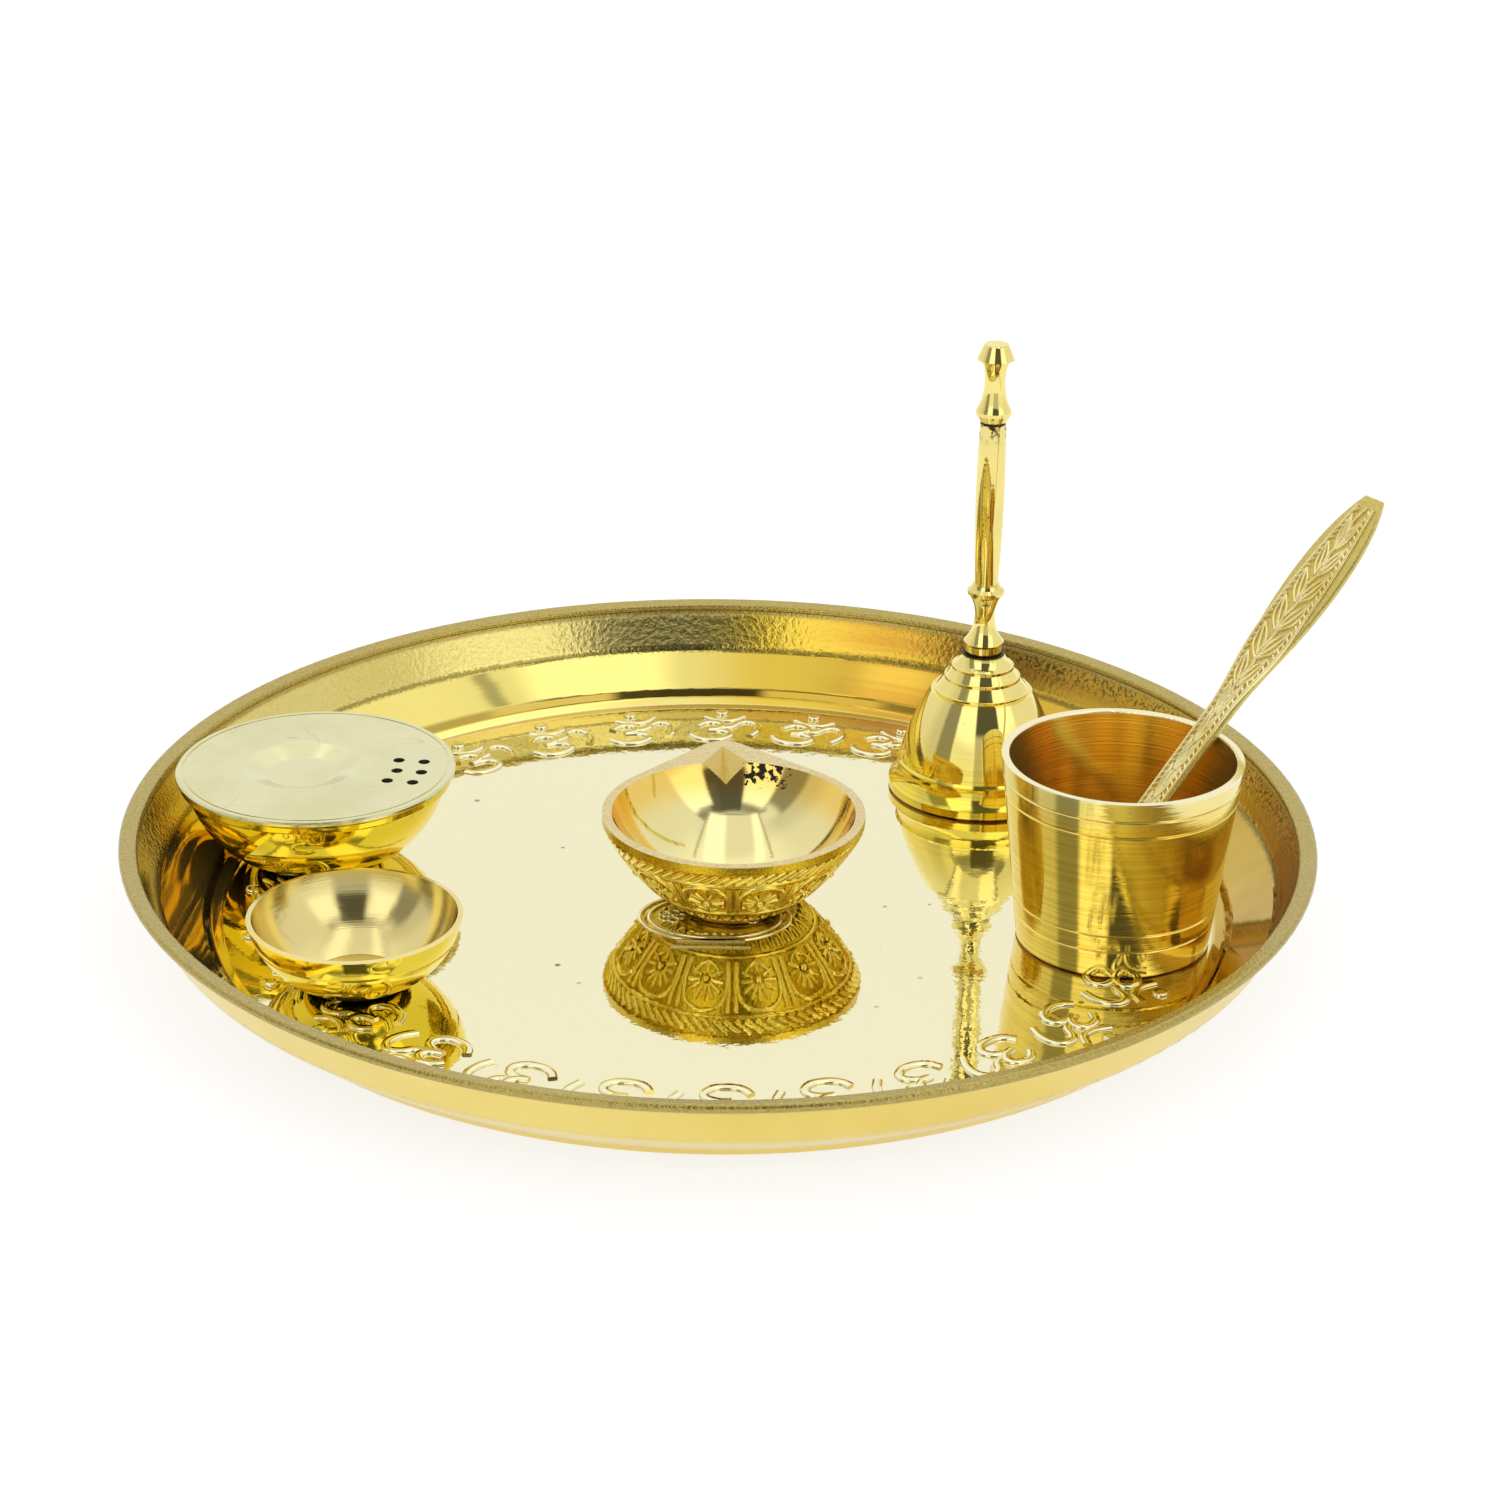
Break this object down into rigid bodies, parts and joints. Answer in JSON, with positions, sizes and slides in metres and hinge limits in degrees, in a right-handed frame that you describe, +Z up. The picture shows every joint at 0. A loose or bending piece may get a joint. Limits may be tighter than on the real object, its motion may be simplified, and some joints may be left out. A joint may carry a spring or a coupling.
{
  "type": "puja thali",
  "caption": "Round brass worship tray with a lidded incense holder, a small bowl, a spouted oil lamp, a hand bell, and a water cup with its spoon.",
  "frame": {"origin": "centre of the tray's underside, on the surface it stands on", "axes": "+Z up, -Y towards the viewer in the picture, +X to the viewer's right"},
  "size_m": [0.2942, 0.28, 0.1192],
  "materials": {
    "thali_brass": "polished floor with rough rim",
    "incense_bowl_brass": "mirror polish",
    "incense_lid_brass": "satin with fine scratches",
    "katori_brass": "turned satin",
    "diya_brass": "cast, rough outside and polished inside",
    "bell_brass": "turned and polished",
    "bell_inner_brass": "as cast",
    "cup_brass": "turned satin",
    "spoon_brass": "matte with engraved leaves"
  },
  "bodies": {
    "thali": {"thali": "thali_brass"},
    "incense_bowl": {"incense_bowl": "incense_bowl_brass"},
    "incense_lid": {"incense_lid": "incense_lid_brass"},
    "katori": {"katori": "katori_brass"},
    "diya": {"diya": "diya_brass"},
    "bell": {"bell_cup": "bell_brass", "clapper_hook": "bell_inner_brass", "bell_handle_base": "bell_brass", "bell_handle_shaft": "bell_brass", "bell_handle_finial": "bell_brass"},
    "clapper": {"clapper": "bell_inner_brass"},
    "cup": {"cup": "cup_brass"},
    "spoon": {"spoon": "spoon_brass"}
  },
  "joints": [
    {"name": "incense_bowl_lift", "type": "slide", "parent": "thali", "child": "incense_bowl", "axis": [0, 0, 1], "range_m": [0, 0.06]},
    {"name": "incense_lid_lift", "type": "slide", "parent": "incense_bowl", "child": "incense_lid", "axis": [0, 0, 1], "range_m": [0, 0.04]},
    {"name": "katori_lift", "type": "slide", "parent": "thali", "child": "katori", "axis": [0, 0, 1], "range_m": [0, 0.06]},
    {"name": "diya_lift", "type": "slide", "parent": "thali", "child": "diya", "axis": [0, 0, 1], "range_m": [0, 0.06]},
    {"name": "bell_lift", "type": "slide", "parent": "thali", "child": "bell", "axis": [0, 0, 1], "range_m": [0, 0.06]},
    {"name": "cup_lift", "type": "slide", "parent": "thali", "child": "cup", "axis": [0, 0, 1], "range_m": [0, 0.08]},
    {"name": "spoon_lift", "type": "slide", "parent": "cup", "child": "spoon", "axis": [0, 0, 1], "range_m": [0, 0.06]},
    {"name": "clapper_swing", "type": "hinge", "parent": "bell", "child": "clapper", "pos_m": [0.0664, 0.06525, 0.02366], "axis": [1, 0, 0], "range_deg": [-54, 54]}
  ]
}
